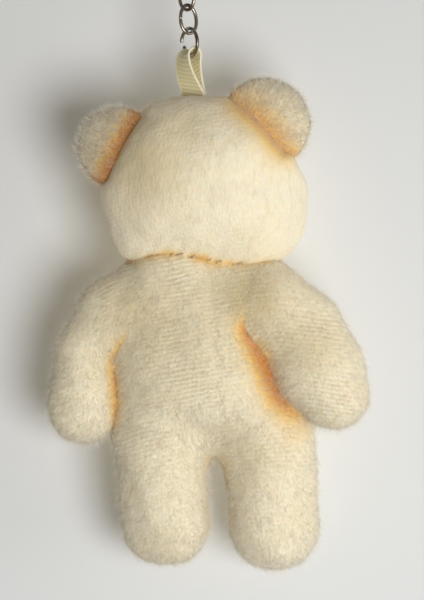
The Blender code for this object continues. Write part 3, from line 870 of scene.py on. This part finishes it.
def build_limb(kind, side, centre, seed):
    """A limb's skin and coat. Over the joint it stands just proud of the torso's skin, then dips under it."""
    name = f"{kind}_{side}"
    points, faces = subdivided(*surface_of(lambda p: limb_field(p, name), centre, 5))
    points = filled_to_body(points)
    normals = body_normals(points)
    points = finish_form(points, normals, seam_plane(points), BODY_SEED)
    inward = limb_field(points, name) - torso_field(points)
    points = points + (0.1 - 0.6 * smoothstep(-1.0, 3.5, inward))[:, None] * normals
    cloth = (points, faces, limb_crease_shade(kind, side, points))
    keep = 1 - smoothstep(-1.0, 2.0, inward)
    for piece in add_cloth(name, cloth, "body_plush", STUFFED, (20000, 1.25, seed), keep):
        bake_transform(piece)


def build_limbs():
    for side, outward, seed in zip(SIDES, (1, -1), (41, 43)):
        at = SHOULDER[side]
        along = np.array([0.4 * outward, 0.0, -0.9])
        build_limb("arm", side, at + 8 * along, seed)
        at = HIP[side]
        build_limb("leg", side, at - 5 * UP, seed + 4)


# ------- muzzle, nose, mouth and eyes

MUZZLE_HALF = np.array([8.5, 4.5, 6.5])
MUZZLE_AT = front_of_head(*middle_of("muzzle")[[0, 2]])
NOSE_HALF = np.array([2.9, 1.4, 2.0])
EYE_HALF = np.array([2.3, 1.5, 2.3])


def muzzle_field(p):
    q = np.abs((p - MUZZLE_AT) / MUZZLE_HALF)
    return ((q**2.2).sum(axis=1) ** (1 / 2.2) - 1) * MUZZLE_HALF[1]


def front_of_muzzle(x, z):
    """The place on the muzzle at a given X and Z from its middle."""
    rest = 1 - abs(x / MUZZLE_HALF[0]) ** 2.2 - abs(z / MUZZLE_HALF[2]) ** 2.2
    return MUZZLE_AT + np.array([x, -MUZZLE_HALF[1] * max(rest, 0) ** (1 / 2.2), z])


def loft(rings, closed=False):
    """Points and triangles of a solid through rings of points, with its ends capped unless it is closed."""
    rings = np.asarray(rings, float)
    count, sides = rings.shape[:2]
    points = rings.reshape(-1, 3)
    faces = []
    for i in range(count if closed else count - 1):
        here, there = i * sides, (i + 1) % count * sides
        for j in range(sides):
            k = (j + 1) % sides
            faces += [(here + j, here + k, there + k), (here + j, there + k, there + j)]
    if not closed:
        points = np.concatenate([points, [rings[0].mean(axis=0), rings[-1].mean(axis=0)]])
        last = (count - 1) * sides
        for j in range(sides):
            k = (j + 1) % sides
            faces += [(count * sides, k, j), (count * sides + 1, last + j, last + k)]
    faces = np.array(faces)
    corners = points[faces] - points.mean(axis=0)
    volume = (np.cross(corners[:, 0], corners[:, 1]) * corners[:, 2]).sum()
    return points, faces if volume > 0 else faces[:, ::-1]


def tube(path, radius, sides=12, closed=False, side=(0.0, 1.0, 0.0)):
    """A round wire or thread along a path. The radius may vary from point to point."""
    path = np.asarray(path, float)
    if closed:
        ahead = unit(np.roll(path, -1, axis=0) - np.roll(path, 1, axis=0))
    else:
        ahead = unit(np.gradient(path, axis=0))
    radius = np.broadcast_to(radius, len(path))
    side = np.asarray(side, float)
    rings = []
    for place, forward, r in zip(path, ahead, radius):
        side = side - (side @ forward) * forward
        side /= np.linalg.norm(side)
        other = np.cross(forward, side)
        turn = circle(sides)[:, None]
        rings.append(place + r * (np.cos(turn) * side + np.sin(turn) * other))
    return loft(rings, closed)


def length_along(path):
    return np.concatenate([[0], np.cumsum(np.linalg.norm(np.diff(path, axis=0), axis=1))])


def twisted(path, radius, pitch):
    """Two strands laid round each other along a path."""
    path = np.asarray(path, float)
    ahead = unit(np.gradient(path, axis=0))
    side = unit(np.cross(ahead, np.array([0.3, 0.9, 0.2])))
    other = np.cross(ahead, side)
    angle = 2 * pi * length_along(path)[:, None] / pitch
    round_it = radius * (np.cos(angle) * side + np.sin(angle) * other)
    return [tube(path + round_it, radius * 1.05, 8), tube(path - round_it, radius * 1.05, 8)]


def merged(solids):
    points, faces, first = [], [], 0
    for one_points, one_faces in solids:
        points.append(one_points)
        faces.append(one_faces + first)
        first += len(one_points)
    return np.concatenate(points), np.concatenate(faces)


def add_solid(name, solid, material, slot, body, *nodes):
    obj = new_mesh_object(name, *solid)
    obj.data.materials.append(material)
    if body:
        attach(obj, body)
    if nodes:
        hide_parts(*nodes)
    return obj


def thread_material(name, colour, dark, roughness):
    """Spun thread: fine twist lines and a little fuzz of tone."""
    material = new_material(name, colour, roughness, Sheen_Weight=0.3)
    n = Nodes(material)
    place = n.place()
    fuzz = n.range(n.noise(1800, 3, place), 0.35, 0.65)
    n.join(n.mix(fuzz, dark, colour), n.shader.inputs["Base Color"])
    n.bump(fuzz, 0.5, 0.00008)
    return material


EMBROIDERY = thread_material("dark_embroidery", (0.075, 0.045, 0.03), (0.03, 0.017, 0.01), 0.5)
PALE_THREAD = thread_material("pale_thread", (0.80, 0.64, 0.44), (0.42, 0.27, 0.13), 0.8)


def bead_material():
    material = new_material("black_bead", (0.012, 0.01, 0.009), 0.12, Coat_Weight=0.6, Coat_Roughness=0.05)
    n = Nodes(material)
    worn = n.range(n.noise(700, 4, n.place(), 0.7), 0.5, 0.75, 0.08, 0.24)
    n.join(worn, n.shader.inputs["Roughness"])
    return material


def build_muzzle():
    points, faces = subdivided(*surface_of(muzzle_field, MUZZLE_AT, 5, 20.0))
    normals = normals_of(points, faces)
    q = points - MUZZLE_AT
    middle_seam = 0.5 * bell(q[:, 0], 0.8) * smoothstep(2.5, 0, q[:, 2]) * (q[:, 1] < 0)
    points = points + (0.15 * lumps(points, 5.0, 8) - middle_seam)[:, None] * normals
    root = head_field(points)
    # Painted warm shade where the muzzle meets the head.
    cloth = (points, faces, 0.35 * near(root, 1.0))
    nose = np.linalg.norm((points - front_of_muzzle(0, 2.6)) / NOSE_HALF, axis=1)
    keep = (1 - smoothstep(-0.5, -1.5, root)) * smoothstep(0.9, 1.2, nose)
    for piece in add_cloth("muzzle", cloth, "head_plush", ("",), (7000, 0.7, 71), keep):
        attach(piece, "head")


def build_nose_and_mouth():
    """A satin-stitched nose over a pad, and a mouth of twisted thread."""
    nose_z = middle_of("nose")[2] - MUZZLE_AT[2]
    ball, ball_faces = BALLS[5]
    threads = [(front_of_muzzle(0, nose_z) + ball * NOSE_HALF * (0.86, 0.85, 0.82), ball_faces)]
    for row in np.linspace(1.75, -1.75, 15):
        reach = NOSE_HALF[0] * (0.35 + 0.65 * smoothstep(-2.2, 0.6, row)) * (1 - (row / 2.0) ** 2) ** 0.35
        path = []
        for share in np.linspace(-1, 1, 13):
            x = share * reach
            height = max(1 - (x / 3.1) ** 2 - (row / 2.3) ** 2, 0) ** 0.5
            path.append(front_of_muzzle(x, nose_z + row) - 1.2 * height * BACK)
        threads.append(tube(path, 0.15, 8, side=(0, 0, 1)))
    add_solid("nose_stitching", merged(threads), EMBROIDERY, "embroidery", "head", "nose")
    mouth = []
    for place in np.linspace(-1, 1, 41):
        x = 4.4 * place
        z = -1.4 - 1.2 * cos(pi / 2 * place)
        mouth.append(front_of_muzzle(x, z) - 0.25 * BACK)
    centre_line = [front_of_muzzle(0, z) - 0.2 * BACK for z in np.linspace(nose_z - 1.6, -2.6, 21)]
    strands = twisted(mouth, 0.17, 1.3) + twisted(centre_line, 0.17, 1.3)
    add_solid("mouth_threads", merged(strands), EMBROIDERY, "embroidery", "head", "mouth_stitching")


def build_eyes():
    glass = bead_material()
    ball, faces = BALLS[5]
    for side, at in EYES.items():
        dome = at + 0.15 * BACK + ball * EYE_HALF
        add_solid(f"eye_{side}_bead", (dome, faces), glass, "bead", "head", f"eye_{side}")


# ------- hand stitches round the neck

STITCHES = 34
STITCH_REACH = 1.0  # above and below the seam
STITCH_SLANT = 0.5
STITCH_LIFT = 0.16  # over the cloth
STITCH_SINK = 0.55  # of both its ends
THREAD_RADIUS = 0.14
# Loose thread loops: X at the back, span and rise
LOOSE_LOOPS = ((2.6, 3.4, 1.1), (-8.4, 3.8, 1.3), (-12.6, 2.4, 0.8), (8.6, 2.2, 0.7))


def neck_form(p):
    """The cloth on both sides of the neck seam."""
    return smooth_union(head_field(p), torso_field(p), 1.6)


def neck_seam(count):
    """Places all round the neck where the head meets the torso."""
    angle = circle(count)
    outward = np.stack([np.cos(angle), np.sin(angle), np.zeros(count)], axis=1)
    p = NECK + outward * [18.0, 11.0, 0.0]
    for _ in range(40):
        for field in (head_field, torso_field):
            g = gradient(field, p)
            g = (g * outward).sum(axis=1)[:, None] * outward + g[:, 2:] * UP
            p = p - (field(p) / np.maximum((g**2).sum(axis=1), 0.2))[:, None] * g
    return p


def build_neck_stitches():
    rng = np.random.default_rng(91)
    seam = neck_seam(360)
    along = unit(np.roll(seam, -1, axis=0) - np.roll(seam, 1, axis=0))
    out = unit(gradient(neck_form, seam))
    solids = []
    for i in range(STITCHES):
        k = int((i + rng.uniform(-0.25, 0.25)) * len(seam) / STITCHES) % len(seam)
        up = np.cross(out[k], along[k])
        up = up if up[2] > 0 else -up
        lean = STITCH_SLANT * rng.uniform(0.5, 1.5) * along[k]
        reach = STITCH_REACH * rng.uniform(0.75, 1.15)
        share = np.linspace(-1, 1, 11)[:, None]
        path = moved_onto(neck_form, seam[k] + share * (reach * up + lean), 8, STITCH_LIFT)
        sink = STITCH_SINK * np.abs(share) ** 8
        solids += twisted(path - sink * out[k], THREAD_RADIUS * 0.6, 0.7)
    back = np.flatnonzero(seam[:, 1] > NECK[1])
    for x, span, rise in LOOSE_LOOPS:
        k = back[np.argmin(np.abs(seam[back, 0] - x))]
        share = np.linspace(0, 1, 33)[:, None]
        arch = np.sin(pi * share)
        path = seam[k] + (share - 0.5) * span * along[k] * (1 + 0.35 * np.sin(2 * pi * share))
        path = path + arch * rise * (0.75 * out[k] + 0.65 * UP * np.cos(3 * share + x))
        solids.append(tube(path, THREAD_RADIUS * 0.75, 8))
    stitches = add_solid("neck_threads", merged(solids), PALE_THREAD, "neck_thread", None, "neck_stitching")
    k = back[np.argmin(seam[back, 0])]
    share = np.linspace(0, 1, 17)[:, None]
    end = seam[k] - 0.4 * out[k] + share * (1.7 * out[k] - 0.4 * UP) + 0.3 * np.sin(4 * share) * along[k]
    knot = add_solid("neck_thread_end", tube(end, 0.16, 8), EMBROIDERY, "neck_thread", None)
    for piece in (stitches, knot):
        blend_at_neck(piece)


# ------- ring, chain and ribbon


def steel_material():
    """Worn nickel plate: brown tarnish in patches and fine scratches."""
    material = new_material("worn_nickel", (0.36, 0.33, 0.3), 0.2, Metallic=1.0)
    n = Nodes(material)
    place = n.place()
    tarnish = n.range(n.noise(420, 4, place, 0.65), 0.42, 0.66)
    n.join(n.mix(tarnish, (0.36, 0.32, 0.28), (0.13, 0.095, 0.07)), n.shader.inputs["Base Color"])
    scratches = n.noise(2600, 3, place, 0.7)
    n.join(n.range(n.maths("ADD", n.times(tarnish, 0.5), scratches), 0.3, 1.1, 0.14, 0.42),
           n.shader.inputs["Roughness"])
    n.bump(scratches, 0.25, 0.00004)
    return material


RING_MIDDLE_R = 11.55
RING_HALF_WIDTH = 0.95
RING_HALF_THICK = 0.6
RING_PITCH = 1.4
RING_STEP = radians(30)
RING_START = radians(20)
RING_AZIMUTH = radians(40)
LINK_AZIMUTHS = (radians(-50), radians(45), radians(-37), radians(30))
JUMP_AZIMUTH = radians(-57)
WIRE_R = 0.45
WIRE_SIDES = 20
LINK_HALF = (2.25, 3.55)  # half width and half length of the wire's middle line
LINK_NARROWING = 0.07  # towards the top
JUMP_HALF = (3.35, 3.45)
JUMP_GAP = radians(16)
JUMP_SPREAD = 0.35


def across(azimuth):
    return np.array([cos(azimuth), sin(azimuth), 0.0])


def build_split_ring(steel):
    side = across(RING_AZIMUTH)
    axis = np.cross(side, UP)
    total = 4 * pi - RING_STEP
    corner = circle(24)
    round_corner = 0.35
    radial = np.sign(np.cos(corner)) * np.abs(np.cos(corner)) ** round_corner
    axial = np.sign(np.sin(corner)) * np.abs(np.sin(corner)) ** round_corner
    rings = []
    for angle in np.linspace(0, total, 241):
        blend = max(-1.0, min(1.0, (angle - total / 2) / (RING_STEP / 2)))
        offset = -0.5 * RING_PITCH * blend * (3 - blend * blend) / 2
        place = RING_START + angle
        out = cos(place) * side + sin(place) * UP
        end = min(angle, total - angle) * RING_MIDDLE_R
        size = 1 - 0.18 * max(0.0, 1 - end / 0.3) ** 2
        ring = RING_MIDDLE_R * out + offset * axis
        section = RING_HALF_WIDTH * radial[:, None] * out + RING_HALF_THICK * axial[:, None] * axis
        rings.append(ring + size * section)
    add_solid("split_ring_coil", loft(rings), steel, "nickel_steel", "split_ring", "split_ring")


def oval(name, side, angle, half_width, half_height):
    """Points round the middle of a CAD node, in the upright plane of a level direction."""
    path = middle_of(name) * UP + (half_width * np.cos(angle))[:, None] * side
    return path + (half_height * np.sin(angle))[:, None] * UP


def build_links(steel):
    for i, azimuth in enumerate(LINK_AZIMUTHS):
        name = f"chain_link_{i + 1}"
        side = across(azimuth)
        angle = circle(144)
        width = LINK_HALF[0] * (1 - LINK_NARROWING * np.sin(angle))
        path = oval(name, side, angle, width, LINK_HALF[1])
        butt = np.minimum(angle, 2 * pi - angle)
        radius = WIRE_R * (1 - 0.28 * bell(butt, 0.035))
        solid = tube(path, radius, WIRE_SIDES, closed=True, side=np.cross(side, UP))
        add_solid(name + "_wire", solid, steel, "nickel_steel", name, name)


def build_jump_ring(steel):
    side = across(JUMP_AZIMUTH)
    normal = np.cross(side, UP)
    share = np.linspace(0, 1, 141)
    angle = JUMP_GAP / 2 + share * (2 * pi - JUMP_GAP)
    path = oval("jump_ring", side, angle, *JUMP_HALF) + (JUMP_SPREAD * (2 * share - 1))[:, None] * normal
    end = np.minimum(share, 1 - share) * 2 * pi * JUMP_HALF[0]
    radius = WIRE_R * (1 - 0.2 * np.clip(1 - end / 0.15, 0, 1) ** 2)
    solid = tube(path, radius, WIRE_SIDES, side=normal)
    add_solid("jump_ring_wire", solid, steel, "nickel_steel", "jump_ring", "jump_ring")


RIBBON_HEIGHT = 10.8
RIBBON_WIDTH = 6.0
RIBBON_TOP_WIDTH = 4.6
RIBBON_FOOT_AZIMUTH = radians(-20)
RIBBON_TOP_AZIMUTH = radians(-55)
RIBBON_BULGE = 2.0
RIBBON_FOOT = 0.55
RIBBON_BOW = 0.8
RIBBON_HALF_THICK = 0.2
RIBBON_INSIDE = 2.4  # how far each end goes into the crown
RIB_PITCH = 1.05
RIB_HEIGHT = 0.09
RIB_SLANT = 0.3
SELVEDGE = 0.4
SELVEDGE_HEIGHT = 0.06
WARP_PITCH = 0.22


def ribbon_line():
    """Half opening and height of the loop's middle line, from inside the crown up to its top."""
    straight = RIBBON_HEIGHT - RIBBON_BULGE
    height = np.linspace(-RIBBON_INSIDE, straight, 110)
    share = np.clip(height / straight, 0, 1)
    opening = RIBBON_FOOT + (RIBBON_BULGE - RIBBON_FOOT) * np.sin(share * pi / 2)
    bend = np.linspace(0, pi / 2, 40)[1:]
    opening = np.concatenate([opening, RIBBON_BULGE * np.cos(bend)])
    height = np.concatenate([height, straight + RIBBON_BULGE * np.sin(bend)])
    opening = np.concatenate([opening, -opening[-2::-1]])
    return opening, np.concatenate([height, height[-2::-1]])


def build_ribbon():
    opening, height = ribbon_line()
    foot_z = CROWN[2] + 0.3
    share = np.clip(height / RIBBON_HEIGHT, 0, 1)
    azimuth = RIBBON_FOOT_AZIMUTH + share * (RIBBON_TOP_AZIMUTH - RIBBON_FOOT_AZIMUTH)
    along = np.stack([np.cos(azimuth), np.sin(azimuth), 0 * azimuth], axis=1)
    out = np.cross(along, UP)
    width = RIBBON_WIDTH + share * (RIBBON_TOP_WIDTH - RIBBON_WIDTH)
    across_share = np.linspace(-0.5, 0.5, 41)
    shift = width[:, None] * across_share
    rise = JUMP_HALF[1] * (1 - np.sqrt(1 - (shift / JUMP_HALF[0]) ** 2))
    lift = rise * (np.maximum(0, share - 0.4) / 0.6)[:, None]
    bow = RIBBON_BOW * np.sin(pi * share**1.3)
    middle = opening[:, None] * out + np.stack([bow, 0 * bow, foot_z + height], axis=1)
    sheet = middle[:, None] + shift[:, :, None] * along[:, None] + lift[:, :, None] * UP
    normal = unit(np.cross(np.gradient(sheet, axis=0), np.gradient(sheet, axis=1)))
    phase = (length_along(middle)[:, None] + RIB_SLANT * shift) / RIB_PITCH
    from_edge = width[:, None] / 2 - np.abs(shift)
    inside = smoothstep(SELVEDGE * 0.7, SELVEDGE * 1.2, from_edge)
    rib = 0.5 + 0.5 * np.cos(2 * pi * phase)
    edge = SELVEDGE_HEIGHT * (1 - inside) * smoothstep(0, 0.15, from_edge)
    thick = RIBBON_HALF_THICK + RIB_HEIGHT * rib * inside + edge
    front = sheet + thick[:, :, None] * normal
    back = sheet - thick[:, :, None] * normal
    rings = np.concatenate([front, back[:, ::-1]], axis=1)
    ribbon = add_solid("ribbon_strip", loft(rings), ribbon_material(), "ribbon", None, "ribbon_loop")

    def both(values):
        rows = np.concatenate([values, values[:, ::-1]], axis=1)
        return np.concatenate([rows.ravel(), [0, 0]])

    set_attribute(ribbon, "rib", both(rib))
    set_attribute(ribbon, "inside", both(inside))
    set_attribute(ribbon, "shift", both(shift))
    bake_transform(ribbon)


def ribbon_material():
    """Grosgrain: painted highlight on the rib tops and painted shade in the grooves between them, fine warp
    threads and plain bright selvedges.
    """
    material = new_material("grosgrain", (0.6, 0.52, 0.3), 0.6, Sheen_Weight=0.25, Sheen_Roughness=0.4)
    n = Nodes(material)
    warp = n.range(n.maths("SINE", n.times(n.attribute("shift"), 2 * pi / WARP_PITCH)), -1.0, 1.0)
    uneven = n.noise(500, 3, n.place())
    ridge = n.times(n.attribute("rib"), n.range(uneven, 0.3, 0.6, 0.7, 1.0))
    # Painted highlight on the rib tops, painted shade in the grooves.
    tone = n.mix(ridge, (0.60, 0.53, 0.29), (0.74, 0.67, 0.42))
    tone = n.mix(n.times(warp, 0.15), tone, (0.48, 0.40, 0.2))
    tone = n.mix(n.attribute("inside"), (0.84, 0.78, 0.56), tone)
    n.join(tone, n.shader.inputs["Base Color"])
    n.bump(n.maths("ADD", warp, uneven), 0.4, 0.00006)
    return material


build_head()
for ear_side, ear_seed in zip(SIDES, (61, 63)):
    build_ear(ear_side, ear_seed)
build_torso()
build_limbs()
build_muzzle()
build_nose_and_mouth()
build_eyes()
build_neck_stitches()
STEEL = steel_material()
build_split_ring(STEEL)
build_links(STEEL)
build_jump_ring(STEEL)
build_ribbon()

# ------- camera, backdrop, light

AIM = np.array([-1.0, 0.0, -101.1])
CAMERA_AWAY = 450.0
VIEW_HEIGHT = 150.0
ROLL = radians(4.0)

camera_data = bpy.data.cameras.new("camera")
camera_data.sensor_width = 36
camera_data.lens = 36 * CAMERA_AWAY / VIEW_HEIGHT
camera = bpy.data.objects.new("camera", camera_data)
scene.collection.objects.link(camera)
right = Vector((-cos(ROLL), 0, -sin(ROLL)))
top = Vector((-sin(ROLL), 0, cos(ROLL)))
away = Vector((0, 1, 0))
turn = Matrix((right, top, away)).transposed().to_4x4()
camera.matrix_world = Matrix.Translation((Vector(AIM) + CAMERA_AWAY * away) * MM) @ turn
scene.camera = camera


def mixed_shader(tree, factor, first, second, output):
    """Joins a mix of two shaders to a material's or world's output."""
    mix = tree.nodes.new("ShaderNodeMixShader")
    for value, socket in zip((factor, first.outputs[0], second.outputs[0]), mix.inputs):
        tree.links.new(value, socket)
    tree.links.new(mix.outputs[0], tree.nodes[output].inputs["Surface"])


world = bpy.data.worlds.new("studio")
world.use_nodes = True
tree = world.node_tree
ambient = tree.nodes["Background"]
ambient.inputs["Color"].default_value = (1.0, 0.93, 0.84, 1)
ambient.inputs["Strength"].default_value = 0.25
backdrop = tree.nodes.new("ShaderNodeBackground")  # what the camera sees past the wall
backdrop.inputs["Color"].default_value = (0.62, 0.63, 0.63, 1)
seen = tree.nodes.new("ShaderNodeLightPath").outputs["Is Camera Ray"]
mixed_shader(tree, seen, ambient, backdrop, "World Output")
scene.world = world
scene.view_settings.view_transform = "Standard"

LIGHTS = (  # name, place from the middle of the view in metres, size, power and colour
    ("key", (-0.18, 0.56, -0.14), 0.3, 2.8, (0.98, 0.99, 1.0)),
    ("side", (-0.5, 0.25, -0.1), 0.3, 0.45, (1.0, 0.98, 0.95)),
    ("front_fill", (0.07, -0.62, 0.1), 0.3, 2.7, (1.0, 0.985, 0.965)),
)
for light_name, offset, size, power, colour in LIGHTS:
    data = bpy.data.lights.new(light_name, "AREA")
    data.shape = "DISK"
    data.size = size
    data.energy = power
    data.color = colour
    lamp = bpy.data.objects.new(light_name, data)
    scene.collection.objects.link(lamp)
    lamp.location = Vector(AIM) * MM + Vector(offset)
    lamp.rotation_euler = (-Vector(offset)).to_track_quat("-Z", "Y").to_euler()

WALL_Y = -24.6  # at the height of the neck
WALL_Z = -95.0
WALL_LEAN = radians(4)
wall_material = new_material("paper", (0.725, 0.737, 0.737), 0.9)
tree = wall_material.node_tree
behind = tree.nodes.new("ShaderNodeNewGeometry").outputs["Backfacing"]
clear = tree.nodes.new("ShaderNodeBsdfTransparent")
mixed_shader(tree, behind, tree.nodes["Principled BSDF"], clear, "Material Output")
outline = ((-900, -900), (900, -900), (900, 700), (-900, 700))
corners = [(x, WALL_Y - (z - WALL_Z) * tan(WALL_LEAN), z) for x, z in outline]
wall = new_mesh_object("wall", corners, [(3, 2, 1, 0)])
wall.data.materials.append(wall_material)
wall.visible_shadow = False
